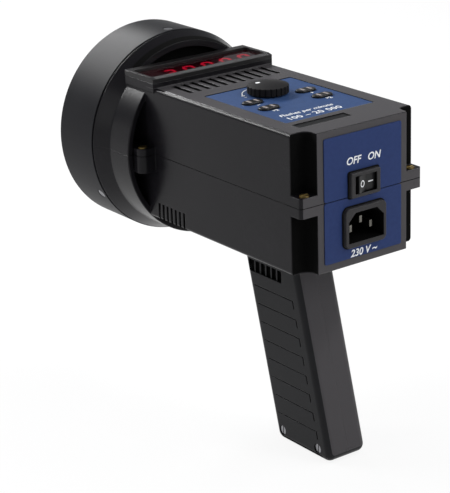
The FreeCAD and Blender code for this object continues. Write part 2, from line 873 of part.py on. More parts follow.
def controls():
    save("panel_overlay", panel_overlay())
    save("name_plate", box(plate_right, plate_left, plate_front, plate_rear, panel_floor, overlay_top))
    edge = panel_half_width - control_board_margin
    save("control_board", box(-edge, edge, panel_front + control_board_margin,
                              panel_rear - control_board_margin, control_board_bottom, control_board_top))
    tacts = [box(x - tact_side / 2, x + tact_side / 2, y - tact_side / 2, y + tact_side / 2,
                 control_board_top, tact_top) for x, y in button_places().values()]
    save("tact_switches", tacts)
    for name, (x, y) in button_places().items():
        save(name, button(x, y))
    bore_r = shaft_r + gap_bore
    pot_top = control_board_top + pot_height
    bushing_top = body_top + bushing_proud
    floor = control_board_top + shaft_seat
    pot = joined([rod(pot_r, (0, knob_y, control_board_top), (0, knob_y, pot_top)),
                  rod(bore_r + bushing_wall, (0, knob_y, pot_top), (0, knob_y, bushing_top))])
    pot = without(pot, [rod(bore_r, (0, knob_y, floor), (0, knob_y, bushing_top + spill))])
    save("potentiometer", pot)
    save("knob_shaft", rod(shaft_r, (0, knob_y, floor + gap_fit), (0, knob_y, knob_top - knob_cap)))
    save("knob", knob())
    save("knob_pointer", knob_pointer())


# Rear panel: labels, rocker switch and mains inlet
def rear_label(z0, z1, cut):
    sheet = rounded_block(-rear_label_half_width, rear_label_half_width, body_end,
                          body_end + overlay_thickness, z0, z1, label_corner, "y")
    return without(sheet, [cut])


def rocker():
    half, crown, dip = rocker_half_length, rocker_crown, rocker_dip
    shoulder = half - rocker_taper
    profile = [(-half, crown), (0, crown - dip), (half, crown), (shoulder, -rocker_shoulder),
               (rocker_keel_half, -rocker_keel), (-rocker_keel_half, -rocker_keel),
               (-shoulder, -rocker_shoulder)]
    points = [(x, rocker_pivot_y + y, switch_z - rocker_half_height) for x, y in profile]
    paddle = prism(points, (0, 0, 2 * rocker_half_height))
    pin_half = switch_opening_half_height + rocker_pin_reach
    pin = rod(rocker_pin_r, (0, rocker_pivot_y, switch_z - pin_half),
              (0, rocker_pivot_y, switch_z + pin_half))
    shape = joined([paddle, pin])
    shape.rotate(V(0, rocker_pivot_y, switch_z), V(0, 0, 1), rocker_tilt)
    return shape


def switch_housing():
    front = body_end + switch_proud
    rear = body_end - switch_depth
    inset = switch_body_inset
    flange = rounded_block(-switch_half_width, switch_half_width, body_end + overlay_thickness, front,
                           switch_z - switch_half_height, switch_z + switch_half_height, switch_corner, "y")
    flange = rounded(flange, edge_round, lambda e: e.BoundBox.YMin > front - near)
    body = box(-switch_half_width + inset, switch_half_width - inset, rear, body_end + overlay_thickness,
               switch_z - switch_half_height + inset, switch_z + switch_half_height - inset)
    cavity = box(-switch_opening_half_width, switch_opening_half_width, rear + case_wall, front + spill,
                 switch_z - switch_opening_half_height, switch_z + switch_opening_half_height)
    pin_half = switch_opening_half_height + rocker_pin_reach + gap_bore * 2
    pin_hole = rod(rocker_pin_r + gap_bore, (0, rocker_pivot_y, switch_z - pin_half),
                   (0, rocker_pivot_y, switch_z + pin_half))
    return without(joined([flange, body]), [cavity, pin_hole])


def cavity_shape(grow, y0, y1):
    half, high, slant = cavity_half_width + grow, cavity_half_height + grow, cavity_chamfer
    profile = [(-half, -high), (half, -high), (half, high - slant), (half - slant, high),
               (-half + slant, high), (-half, high - slant)]
    return prism([(x, y0, inlet_z + z) for x, z in profile], (0, y1 - y0, 0))


def inlet_pins():
    blades = []
    for x, z in ((-pin_pitch / 2, -pin_offset / 2), (pin_pitch / 2, -pin_offset / 2), (0, pin_offset / 2)):
        blade = box(x - pin_width / 2, x + pin_width / 2, body_end - inlet_depth - pin_tail,
                    inlet_front - pin_tip_setback, inlet_z + z - pin_height / 2, inlet_z + z + pin_height / 2)
        tip = inlet_front - pin_tip_setback
        blades.append(rounded(blade, pin_round, lambda e: e.BoundBox.YMin > tip - near))
    return blades


def mains_inlet():
    inset = inlet_body_inset
    flange = rounded_block(-inlet_half_width, inlet_half_width, body_end + overlay_thickness, inlet_front,
                           inlet_z - inlet_half_height, inlet_z + inlet_half_height, inlet_corner, "y")
    flange = rounded(flange, edge_round, lambda e: e.BoundBox.YMin > inlet_front - near)
    body = rounded_block(-inlet_half_width + inset, inlet_half_width - inset, body_end - inlet_depth,
                         body_end + overlay_thickness, inlet_z - inlet_half_height + inset,
                         inlet_z + inlet_half_height - inset, inlet_corner - inset, "y")
    shape = without(joined([flange, body]), [cavity_shape(0, cavity_floor, inlet_front + spill)])
    return without(shape, inlet_pins())


def rear_panel():
    half_w, half_h = switch_half_width + gap_fit, switch_half_height + gap_fit
    low, high = body_end - spill, body_end + overlay_thickness + spill
    cut = box(-half_w, half_w, low, high, switch_z - half_h, switch_z + half_h)
    save("rear_label_upper", rear_label(seam_z + rear_label_gap, rear_label_top, cut))
    inlet_w, inlet_h = inlet_half_width + gap_fit, inlet_half_height + gap_fit
    inlet_cut = rounded_block(-inlet_w, inlet_w, low, high, inlet_z - inlet_h, inlet_z + inlet_h,
                              inlet_corner, "y")
    save("rear_label_lower", rear_label(rear_label_bottom, seam_z - rear_label_gap, joined([cut, inlet_cut])))
    save("switch_housing", switch_housing())
    save("switch_rocker", rocker())
    rear = body_end - switch_depth
    low, high = switch_z - terminal_width / 2, switch_z + terminal_width / 2
    half = terminal_thickness / 2
    tabs = [box(x - half, x + half, rear - terminal_length, rear, low, high)
            for x in (-terminal_x, terminal_x)]
    save("switch_terminals", tabs)
    save("mains_inlet", mains_inlet())
    save("inlet_pins", inlet_pins())


# Grip: two half shells with ribbed side panels
def grip_y(z):
    return grip_front + (body_bottom - z) * grip_slope


def grip_profile(inset, top, bottom):
    return [(grip_y(top) + inset, top), (grip_y(top) + grip_depth - inset, top),
            (grip_y(bottom) + grip_depth - inset, bottom), (grip_y(bottom) + inset, bottom)]


def grip_block(inset, half_width, top, bottom):
    points = [(-half_width, y, z) for y, z in grip_profile(inset, top, bottom)]
    return prism(points, (2 * half_width, 0, 0))


def slanted_cut(side, depth, y0, y1, z0, z1):
    # A cut into a side of the grip that leans as the grip does, from z0 down to z1.
    shift = (z0 - z1) * grip_slope
    x = side * (grip_half_width - depth)
    corners = [(x, y0, z0), (x, y1, z0), (x, y1 + shift, z1), (x, y0 + shift, z1)]
    return prism(corners, (side * (depth + spill), 0, 0))


def line_cuts(side):
    cuts = []
    for i in range(line_count):
        z = line_first - i * line_pitch
        y0 = grip_y(z) + line_front_margin
        y1 = grip_y(z) + grip_depth - line_rear_margin
        cuts.append(slanted_cut(side, line_depth, y0, y1, z, z - line_width))
        cuts.append(slanted_cut(side, slit_depth, y1, y1 + slit_width, z, z - slit_length))
    return cuts


def window_cut(side):
    low = grip_window_top - grip_window_height
    y0 = grip_y(grip_window_top) + grip_window_inset
    x = sorted((side * (grip_half_width - grip_window_depth), side * (grip_half_width + spill)))
    pocket = box(x[0], x[1], y0, y0 + grip_window_length, low, grip_window_top)
    step = grip_window_length / (grip_window_rib_count + 1)
    rib_x = sorted((side * (grip_half_width - grip_window_depth - spill),
                    side * (grip_half_width - grip_window_rib_setback)))
    half = grip_window_rib_width / 2
    ribs = []
    for i in range(grip_window_rib_count):
        y = y0 + (i + 1) * step
        ribs.append(box(rib_x[0], rib_x[1], y - half, y + half, low - spill, grip_window_top + spill))
    return pocket.cut(ribs)


def grip_screw_places():
    z = grip_bottom + grip_screw_rise
    return [(grip_y(z) + grip_screw_front, z), (grip_y(z) + grip_screw_rear, z)]


def grip_half(side):
    block = grip_block(0, grip_half_width, body_bottom, grip_bottom)
    foot = [e for e in block.Edges if along(e, "x") and e.BoundBox.ZMax < grip_bottom + near]
    block = block.makeFillet(grip_foot_round, foot)
    block = rounded(block, grip_round, lambda e: e.BoundBox.ZLength > grip_length / 2)
    hollow = grip_block(grip_wall + slit_depth, grip_half_width - grip_wall - grip_window_depth,
                        body_bottom - grip_block_height, grip_bottom + grip_wall)
    bosses = [rod(grip_boss_r, (-grip_half_width, y, z), (grip_half_width, y, z))
              for y, z in grip_screw_places()]
    hollow = without(hollow, bosses)
    cuts = [hollow, window_cut(side)] + line_cuts(side)
    cuts += [screw_hole(grip_screw_length, (grip_screw_seat, y, z), (1, 0, 0))
             for y, z in grip_screw_places()]
    cuts += [screw_hole(screw_length, (x, y, body_inner_bottom)) for x, y in grip_bolt_places()]
    block = without(block, cuts)
    if side > 0:
        half_space = box(0, reach, -reach, 3 * reach, -3 * reach, reach)
    else:
        half_space = box(-reach, 0, -reach, 3 * reach, -3 * reach, reach)
    return block.common(half_space)


def grip():
    save("grip_left", grip_half(1))
    save("grip_right", grip_half(-1))
    save("grip_screws", [placed(screw(grip_screw_length), (grip_screw_seat, y, z), (1, 0, 0))
                         for y, z in grip_screw_places()])
    save("grip_bolts", [placed(screw(screw_length), (x, y, body_inner_bottom))
                        for x, y in grip_bolt_places()])


# Main board and the parts that it carries
def transformer():
    z0, z1 = main_board_top, main_board_top + core_height
    y0, y1 = core_front, core_front + core_stack
    core = box(-core_half_width, core_half_width, y0, y1, z0, z1)
    windows = []
    for side in (1, -1):
        x = sorted((side * limb_half_width, side * (core_half_width - core_yoke)))
        windows.append(box(x[0], x[1], y0 - spill, y1 + spill, z0 + core_yoke, z1 - core_yoke))
    save("transformer_core", without(core, windows))
    outer = core_half_width - core_yoke - gap_slide
    coil = box(-outer, outer, y0 - coil_overhang, y1 + coil_overhang, z0 + core_yoke + gap_slide,
               z1 - core_yoke - gap_slide)
    limb = box(-limb_half_width - gap_slide, limb_half_width + gap_slide,
               y0 - gap_slide, y1 + gap_slide, z0, z1)
    save("transformer_coil", without(coil, [limb]))


def heat_sink():
    z0, z1 = main_board_top, main_board_top + sink_height
    plate = box(sink_x, sink_x + sink_base, sink_y, sink_y + sink_length, z0, z1)
    step = (sink_length - sink_fin) / (sink_fin_count - 1)
    fins = [box(sink_x, sink_x + sink_width, sink_y + i * step, sink_y + i * step + sink_fin, z0, z1)
            for i in range(sink_fin_count)]
    return joined([plate] + fins)


def fuse():
    z = main_board_top + fuse_clip_height / 2 + fuse_lift
    tube = rod(fuse_r, (fuse_x, fuse_y, z), (fuse_x, fuse_y + fuse_length, z))
    clips = []
    for y in (fuse_y, fuse_y + fuse_length - fuse_clip_length):
        clip = box(fuse_x - fuse_clip_width / 2, fuse_x + fuse_clip_width / 2, y, y + fuse_clip_length,
                   main_board_top, main_board_top + fuse_clip_height)
        bore = rod(fuse_r, (fuse_x, y - spill, z), (fuse_x, y + fuse_clip_length + spill, z))
        clips.append(without(clip, [bore]))
    save("fuse", tube)
    save("fuse_clips", clips)


def power_parts():
    holes = [rod(screw_shank_r, (x, y, main_board_bottom - spill), (x, y, main_board_top + spill))
             for x, y in boss_places()]
    board = box(-main_board_half_width, main_board_half_width, main_board_front, main_board_rear,
                main_board_bottom, main_board_top)
    save("main_board", without(board, holes))
    transformer()
    start = -(cap_count - 1) / 2 * cap_x
    save("discharge_capacitors", [rod(cap_r, (start + i * cap_x, cap_y, main_board_top),
                                      (start + i * cap_x, cap_y, main_board_top + cap_height))
                                  for i in range(cap_count)])
    half = trigger_side / 2
    block = rounded_block(trigger_x - half, trigger_x + half, trigger_y - half, trigger_y + half,
                          main_board_top, main_board_top + trigger_height, trigger_round, "z")
    save("trigger_transformer", block)
    save("heat_sink", heat_sink())
    fuse()


def main():
    os.makedirs("parts", exist_ok=True)
    save("upper_casing", upper_casing())
    save("lower_casing", lower_casing())
    save("hood", hood())
    lens_parts()
    lamp()
    display()
    controls()
    rear_panel()
    grip()
    power_parts()
    save("case_screws", [placed(screw(screw_length), place) for place in case_screw_places])
    hood_screws = []
    for turn in hood_screw_turns():
        position, direction = hood_screw_place(turn)
        hood_screws.append(placed(screw(hood_r - spigot_bore_r - screw_head_height), position, direction))
    save("hood_screws", hood_screws)


main()
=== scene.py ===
import bmesh
import bpy
import math
from mathutils import Matrix, Vector


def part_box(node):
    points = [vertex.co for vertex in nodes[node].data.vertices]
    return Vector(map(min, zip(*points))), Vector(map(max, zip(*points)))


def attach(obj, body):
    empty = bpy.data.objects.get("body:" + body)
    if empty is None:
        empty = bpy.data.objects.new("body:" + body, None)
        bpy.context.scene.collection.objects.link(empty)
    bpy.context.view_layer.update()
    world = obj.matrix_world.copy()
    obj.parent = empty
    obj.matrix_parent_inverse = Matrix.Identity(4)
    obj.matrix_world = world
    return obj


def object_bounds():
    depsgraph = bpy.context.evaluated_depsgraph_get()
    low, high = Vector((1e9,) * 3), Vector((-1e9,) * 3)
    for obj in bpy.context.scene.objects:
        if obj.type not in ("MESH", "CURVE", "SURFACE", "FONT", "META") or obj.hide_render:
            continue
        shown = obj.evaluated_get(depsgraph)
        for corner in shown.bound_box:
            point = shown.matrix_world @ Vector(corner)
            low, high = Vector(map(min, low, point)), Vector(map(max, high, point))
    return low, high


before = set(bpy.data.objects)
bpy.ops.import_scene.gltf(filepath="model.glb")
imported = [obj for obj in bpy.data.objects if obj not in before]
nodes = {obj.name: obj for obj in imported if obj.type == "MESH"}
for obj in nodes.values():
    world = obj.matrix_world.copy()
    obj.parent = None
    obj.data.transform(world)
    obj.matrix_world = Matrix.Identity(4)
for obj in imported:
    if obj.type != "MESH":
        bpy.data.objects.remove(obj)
cad_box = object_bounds()

# The camera: where it stands round the object, what it aims at, and its lens
CAMERA_AZIMUTH = 143.86
CAMERA_ELEVATION = 19.95
CAMERA_ROLL = -1.85
CAMERA_DISTANCE = 1.0675
CAMERA_AIM = Vector((0.0093, 0.0911, -0.0562))
CAMERA_LENS = 148.2
SENSOR_WIDTH = 36.0

# The studio: how much of the paper is its own white, its floor and wall, the sky, and where the lamps aim
PAPER_GLOW = 0.88
FLOOR_RADIUS = 5.0
FLOOR_SIDES = 96
FLOOR_CENTRE_Y = 0.1
FLOOR_GAP = 0.0002
WALL_HEIGHT = 0.8
SKY_COLOUR = (0.93, 0.96, 1.0, 1.0)
SKY_LEVEL = 0.25
LAMP_AIM = Vector((0, 0.1, 0))

# Print is this thick and lies this far off its surface
PRINT_HEIGHT = 0.00006
PRINT_LIFT = 0.00002

# Places taken from the frame
panel_low, panel_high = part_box("panel_overlay")
panel_front, panel_rear, panel_top = panel_low[1], panel_high[1], panel_high[2]
knob_low, knob_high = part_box("knob")
knob_centre = Vector(((knob_low[0] + knob_high[0]) / 2, (knob_low[1] + knob_high[1]) / 2, knob_high[2]))
digits_low, digits_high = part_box("digit_modules")
label_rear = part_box("rear_label_upper")[1][1]
switch_low, switch_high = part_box("switch_housing")
inlet_low, inlet_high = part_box("mains_inlet")
bezel_low, bezel_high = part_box("display_bezel")
window_low, window_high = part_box("display_window")
body_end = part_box("lower_casing")[1][1]
grip_low, grip_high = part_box("grip_left")

# The push-buttons and the mark printed beside each
BUTTON_MARKS = {"button_down": "−", "button_up": "+", "button_halve": "÷2", "button_double": "×2"}


def middle_of(low, high):
    return [(a + b) / 2 for a, b in zip(low, high)]


# Shader maths: a socket that can be added to, multiplied and so on
class Value:
    def __init__(self, material, socket):
        self.material = material
        self.socket = socket

    def maths(self, operation, other):
        return self.material.node("ShaderNodeMath", {"operation": operation}, {0: self, 1: other})

    def __add__(self, other):
        return self.maths("ADD", other)

    def __sub__(self, other):
        return self.maths("SUBTRACT", other)

    def __mul__(self, other):
        return self.maths("MULTIPLY", other)

    def __rsub__(self, other):
        return (self * -1) + other

    __radd__ = __add__
    __rmul__ = __mul__

    def above(self, limit):
        return self.maths("GREATER_THAN", limit)

    def below(self, limit):
        return self.maths("LESS_THAN", limit)


# A colour Mix node has several sockets of one name, so these four are found by number
MIX_FACTOR, MIX_LOW, MIX_HIGH, MIX_RESULT = 0, 6, 7, 2
BEVEL_SAMPLES = 6


class Finish:
    # A node material with one Principled shader; node() adds any other node.
    def __init__(self, name, **constants):
        self.material = bpy.data.materials.new(name)
        self.material.use_nodes = True
        self.tree = self.material.node_tree
        self.shader = self.tree.nodes["Principled BSDF"]
        for socket, value in constants.items():
            self.shader.inputs[socket.replace("_", " ")].default_value = value

    def node(self, kind, settings=None, inputs=None, output=0):
        made = self.tree.nodes.new(kind)
        for key, value in (settings or {}).items():
            setattr(made, key, value)
        for key, value in (inputs or {}).items():
            self.link(made.inputs[key], value)
        return Value(self, made.outputs[output])

    def link(self, socket, value):
        if isinstance(value, Value):
            self.tree.links.new(value.socket, socket)
        else:
            socket.default_value = value

    def drive(self, **values):
        for socket, value in values.items():
            self.link(self.shader.inputs[socket.replace("_", " ")], value)

    def place(self):
        return self.node("ShaderNodeTexCoord", output="Object")

    def noise(self, scale, detail=2.0, roughness=0.5):
        inputs = {"Vector": self.place(), "Scale": scale, "Detail": detail, "Roughness": roughness}
        return self.node("ShaderNodeTexNoise", inputs=inputs)

    def inside(self, boxes, lean=0.0):
        # 1 inside any of the boxes, 0 outside them. A box leans back by lean for each metre below Z = 0.
        split = self.node("ShaderNodeSeparateXYZ", inputs={"Vector": self.place()}).socket.node
        axes = [Value(self, split.outputs[name]) for name in "XYZ"]
        if lean:
            axes[1] = axes[1] + axes[2] * lean
        total = None
        for low, high in boxes:
            mask = None
            for axis, start, end in zip(axes, low, high):
                here = axis.above(start) * axis.below(end)
                mask = here if mask is None else mask * here
            total = mask if total is None else total.maths("MAXIMUM", mask)
        return total

    def blend(self, mask, low, high):
        inputs = {MIX_FACTOR: mask, MIX_LOW: low, MIX_HIGH: high}
        return self.node("ShaderNodeMix", {"data_type": "RGBA"}, inputs, MIX_RESULT)

    def bump(self, height, strength, distance, edge=0.0):
        inputs = {"Strength": strength, "Distance": distance, "Height": height}
        if edge:
            inputs["Normal"] = self.node("ShaderNodeBevel", {"samples": BEVEL_SAMPLES}, {"Radius": edge})
        return self.node("ShaderNodeBump", inputs=inputs)


def rgb(red, green, blue):
    # A colour as seen on a screen, 0 to 255, turned linear.
    def linear(c):
        c = c / 255
        return c / 12.92 if c <= 0.04045 else ((c + 0.055) / 1.055) ** 2.4
    return (linear(red), linear(green), linear(blue), 1.0)


def shaded(colour, share, lift=0.0):
    # The same colour, lighter or darker.
    return tuple(min(1.0, c * share + lift) for c in colour[:3]) + (1.0,)


# Materials
WHITE = (1.0, 1.0, 1.0, 1.0)
# Painted shade and dark seams are this black, and painted light on faces that the lamps catch is this grey
SHADE_AND_SEAM_BLACK = rgb(2, 2, 2)
PAINTED_LIGHT_GREY = rgb(72, 70, 72)
CLOUD_SCALE = 38.0
CLOUD_SPREAD = 0.06
GRAIN_SCALE = 2600.0
GRAIN_SPREAD = 0.05
GRAIN_DEPTH = 0.00012


def moulded(name, colour, rough, grain=0.25, edge=0.0005, sheen=0.1, shade_and_seam_boxes=(), painted_light_boxes=(), lean=0.0):
    # Moulded plastic with a fine spark texture, slight cloudiness and softened edges. Inside the boxes
    # given for shade, low and high corners in metres, it is painted black and fully rough, as painted shade
    # in vents and recesses and as dark seams. Inside those given for light it is painted lighter, as
    # painted light on faces that the lamps catch.
    finish = Finish(name, Specular_IOR_Level=sheen)
    cloud = finish.noise(CLOUD_SCALE, detail=3.0)
    grit = finish.noise(GRAIN_SCALE, detail=1.0)
    shade = finish.blend(cloud, colour, shaded(colour, 1.35, lift=0.002))
    # Painted light: a lighter grey on faces that the lamps catch
    if painted_light_boxes:
        shade = finish.blend(finish.inside(painted_light_boxes, lean), shade, PAINTED_LIGHT_GREY)
    polish = cloud * CLOUD_SPREAD + (rough - CLOUD_SPREAD / 2) + grit * GRAIN_SPREAD
    # Painted shade: black in vents and recesses, and on the seam
    if shade_and_seam_boxes:
        shade_and_seam_mask = finish.inside(shade_and_seam_boxes, lean)
        shade = finish.blend(shade_and_seam_mask, shade, SHADE_AND_SEAM_BLACK)
        polish = polish.maths("MAXIMUM", shade_and_seam_mask)
    finish.drive(Base_Color=shade, Roughness=polish)
    finish.drive(Normal=finish.bump(grit, grain, GRAIN_DEPTH, edge))
    return finish.material


def film(name, colour, rough):
    # Printed polycarbonate film with a fine matt stipple.
    spread = 0.12
    finish = Finish(name, Specular_IOR_Level=0.12)
    grit = finish.noise(1500.0)
    fleck = finish.noise(420.0, detail=3.0)
    finish.drive(Base_Color=finish.blend(fleck, shaded(colour, 0.86), shaded(colour, 1.22)))
    finish.drive(Roughness=grit * spread + (rough - spread / 2))
    finish.drive(Normal=finish.bump(grit, strength=0.12, distance=0.00008, edge=0.0002))
    return finish.material


def metal(name, colour, rough, streaks=900.0):
    finish = Finish(name, Metallic=1.0)
    streak = finish.noise(streaks, detail=4.0, roughness=0.6)
    finish.drive(Base_Color=finish.blend(streak, shaded(colour, 0.72), colour))
    finish.drive(Roughness=streak * 0.14 + rough)
    finish.drive(Normal=finish.bump(streak, strength=0.08, distance=0.00005, edge=0.00015))
    return finish.material


def clear(name, colour, alpha):
    # Clear plastic or glass with faint smears.
    rough = 0.05
    finish = Finish(name, IOR=1.49, Alpha=alpha, Coat_Weight=0.3)
    smear = finish.noise(60.0, detail=4.0)
    finish.drive(Base_Color=finish.blend(smear, colour, shaded(colour, 1.2)))
    finish.drive(Roughness=smear * rough + rough)
    return finish.material


def glowing(name, colour, strength):
    finish = Finish(name, Roughness=0.4)
    patch = finish.noise(300.0)
    dim = shaded(colour, 0.8)
    finish.drive(Base_Color=finish.blend(patch, dim, colour))
    finish.drive(Emission_Color=finish.blend(patch, dim, colour))
    finish.shader.inputs["Emission Strength"].default_value = strength
    return finish.material


def circuit(name):
    # Green solder mask with faint tracks.
    finish = Finish(name)
    settings = {"wave_type": "BANDS", "bands_direction": "X"}
    inputs = {"Vector": finish.place(), "Scale": 160.0, "Distortion": 3.0, "Detail": 1.0}
    track = finish.node("ShaderNodeTexWave", settings, inputs, "Fac").above(0.8)
    finish.drive(Base_Color=finish.blend(track, rgb(14, 74, 40), rgb(32, 110, 62)))
    finish.drive(Roughness=0.35 - track * 0.08, Normal=finish.bump(track, strength=0.2, distance=0.00005))
    return finish.material


def laminated(name):
    # Stacked transformer steel: thin dark lines between the sheets.
    finish = Finish(name, Metallic=0.7)
    settings = {"wave_type": "BANDS", "bands_direction": "Y"}
    inputs = {"Vector": finish.place(), "Scale": 620.0}
    sheet = finish.node("ShaderNodeTexWave", settings, inputs, "Fac")
    finish.drive(Base_Color=finish.blend(sheet, rgb(46, 44, 44), rgb(104, 100, 98)))
    finish.drive(Roughness=sheet * 0.2 + 0.4, Normal=finish.bump(sheet, strength=0.3, distance=0.0001))
    return finish.material


# Boxes for places painted darker, as painted shade, or lighter, as painted light, each as its low and its
# high corner
def spans(x, y, z):
    # A box from its span along each axis.
    return tuple(zip(x, y, z))


def across(half_width, y, z):
    # A box that reaches as far to the left as to the right.
    return spans((-half_width, half_width), y, z)


def both_sides(x, y, z):
    # A box on the right and its mirror image on the left.
    return [spans(x, y, z), spans((-x[1], -x[0]), y, z)]


def around(place, reach):
    return (place - reach, place + reach)


def step_round(low, high):
    # The step between a film and the casing round it, as a box for painted shade.
    edge, below_top = 0.0004, 0.00003
    x, y = [(low[i] - edge, high[i] + edge) for i in (0, 1)]
    return spans(x, y, (low[2], body_top - below_top))


# Painted shade in deep places of the casing that light hardly reaches: the top and side vents, the corner
# notches, the steps round the panel's films and the hollow between the shroud and the display; the seam,
# a dark joint, is black with them
FILM_DEPTH = 0.0003
SHADE_INSET = 0.0003
LAYER = 0.0001
body_half_width = 0.0415
body_top = panel_top + FILM_DEPTH
body_run = (0.066, 0.21)
vent_half_width, vent_floor = 0.036, 0.03
vent_run = (bezel_high[1] + 0.002, panel_front - 0.0105)
hollow_half_width, hollow_run = 0.045, (0.0412, bezel_low[1] - 0.0002)
hollow_heights = (bezel_high[2] - 0.001, 0.0575)
shroud_half_width, seam_z, seam_half = 0.06, 0.0015, 0.0002
side_vent_x = (0.035, body_half_width - SHADE_INSET)
side_vent_run, side_vent_heights = (0.0722, 0.0995), (-0.0372, -0.0268)
notch_inset, notch_bottom = 0.0006, -0.0365
notch_x = (body_half_width - 0.0112, 0.0411)
notch_run = (body_end - 0.0087, body_end - notch_inset)
ledge_low, ledge_high = -0.0041, 0.0071
end_half_width, end_half_height, top_half_width = 0.06, 0.04, 0.05

PAINTED_SHADE_AND_SEAM_CASING = [
    across(vent_half_width, vent_run, (vent_floor, body_top - SHADE_INSET)),
    step_round(panel_low, panel_high),
    step_round(*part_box("name_plate")),
    across(hollow_half_width, hollow_run, hollow_heights),
    across(shroud_half_width, body_run, around(seam_z, seam_half)),
    *both_sides(side_vent_x, side_vent_run, side_vent_heights),
    *both_sides(notch_x, notch_run, (ledge_high, body_top - notch_inset)),
    *both_sides(notch_x, notch_run, (notch_bottom, ledge_low)),
]
# Painted light: the rear end face and the top face of the casing are painted lighter, where the lamps catch
# them
PAINTED_LIGHT_CASING = [
    across(end_half_width, around(body_end, LAYER), (-end_half_height, end_half_height)),
    across(top_half_width, body_run, around(body_top, LAYER)),
]

# Painted shade in the insides of the inlet and of the switch's opening
FLANGE_DEPTH = 0.0004
SOCKET_FLOOR = 0.18
inlet_z, switch_z = middle_of(inlet_low, inlet_high)[2], middle_of(switch_low, switch_high)[2]
SOCKETS = [(0.0122, 0.0084, inlet_z, inlet_high[1]), (0.0075, 0.005, switch_z, switch_high[1])]
PAINTED_SHADE_SOCKETS = [across(half_width, (SOCKET_FLOOR, rear - FLANGE_DEPTH), around(z, half_height))
                for half_width, half_height, z, rear in SOCKETS]

# On the grip: painted shade in the window below the body and in the lines and slits of the side panels, and
# painted light on the rear face. Their boxes are sheared with the grip, so a box's Y is the one that its
# place has at Z = 0.
GRIP_LEAN = math.tan(math.radians(14.8))
GRIP_DEPTH = 0.0478
grip_side = grip_high[0]
grip_front = grip_low[1] + GRIP_LEAN * grip_high[2]
grip_rear = grip_front + GRIP_DEPTH
grip_bottom, grip_top = -0.16, -0.03
grip_window_x = (grip_side - 0.0025, grip_side - 0.0009)
grip_window_run, grip_window_heights = (grip_front + 0.003, grip_front + 0.0365), (-0.0622, -0.0535)
grip_line_x = (grip_side - 0.0015, grip_side - 0.00015)
grip_line_run, grip_line_heights = (grip_front + 0.0045, grip_rear - 0.007), (grip_bottom, -0.0625)
rear_face_reach = 0.0004

PAINTED_SHADE_GRIP = [
    *both_sides(grip_window_x, grip_window_run, grip_window_heights),
    *both_sides(grip_line_x, grip_line_run, grip_line_heights),
]
PAINTED_LIGHT_GRIP = [across(grip_side, around(grip_rear, rear_face_reach), (grip_bottom, grip_top))]

FINISHES = {
    "casing_plastic": moulded("casing_plastic", rgb(19, 18, 21), 0.23, grain=0.08, edge=0.0007, sheen=0.12,
                              shade_and_seam_boxes=PAINTED_SHADE_AND_SEAM_CASING, painted_light_boxes=PAINTED_LIGHT_CASING),
    "hood_plastic": moulded("hood_plastic", rgb(24, 24, 27), 0.4, grain=0.15, edge=0.0006, sheen=0.07),
    "grip_plastic": moulded("grip_plastic", rgb(26, 26, 28), 0.3, grain=0.32, edge=0.0005, shade_and_seam_boxes=PAINTED_SHADE_GRIP,
                            painted_light_boxes=PAINTED_LIGHT_GRIP, lean=GRIP_LEAN),
    "gloss_black": moulded("gloss_black", rgb(22, 22, 23), 0.28, grain=0.08, edge=0.0003, sheen=0.2),
    "socket_plastic": moulded("socket_plastic", rgb(50, 49, 50), 0.34, grain=0.1, edge=0.0003,
                              shade_and_seam_boxes=PAINTED_SHADE_SOCKETS),
    "knob_black": moulded("knob_black", rgb(30, 29, 30), 0.48, grain=0.2, edge=0.0003, sheen=0.06),
    "bezel_plastic": moulded("bezel_plastic", rgb(28, 27, 28), 0.32, edge=0.0004, sheen=0.2),
    "rubber_black": moulded("rubber_black", rgb(10, 10, 10), 0.7),
    # The ribs' grey, also the painted highlight line round the display window
    "rib_grey_and_highlight": moulded("rib_grey_and_highlight", rgb(128, 127, 128), 0.4, grain=0.1),
    "blue_film": film("blue_film", rgb(48, 71, 112), 0.5),
    "blue_rear_film": film("blue_rear_film", rgb(38, 54, 98), 0.5),
    "dark_film": film("dark_film", rgb(12, 12, 13), 0.3),
    "print_white": film("print_white", rgb(232, 234, 238), 0.5),
    "stripe_grey": film("stripe_grey", rgb(150, 142, 140), 0.4),
    "red_window": clear("red_window", rgb(38, 3, 9), 0.66),
    "lens_clear": clear("lens_clear", rgb(235, 240, 243), 0.16),
    "tube_quartz": clear("tube_quartz", rgb(240, 243, 246), 0.35),
    "segment_red": glowing("segment_red", (1.0, 0.01, 0.05, 1.0), 3.0),
    "segment_dark": moulded("segment_dark", rgb(44, 16, 18), 0.5, grain=0.05),
    "digit_face": moulded("digit_face", rgb(20, 14, 15), 0.35, grain=0.05),
    "mirror_metal": metal("mirror_metal", rgb(225, 226, 228), 0.08, streaks=80.0),
    "ceramic_white": moulded("ceramic_white", rgb(226, 223, 212), 0.3, grain=0.08),
    "nickel_metal": metal("nickel_metal", rgb(120, 118, 112), 0.3),
    "brass_metal": metal("brass_metal", rgb(206, 178, 112), 0.26),
    "steel_metal": metal("steel_metal", rgb(150, 150, 154), 0.28),
    "aluminium_metal": metal("aluminium_metal", rgb(190, 190, 194), 0.34, streaks=400.0),
    "board_green": circuit("board_green"),
    "core_steel": laminated("core_steel"),
    "coil_tape": film("coil_tape", rgb(202, 168, 74), 0.45),
    "sleeve_blue": film("sleeve_blue", rgb(34, 48, 92), 0.35),
}

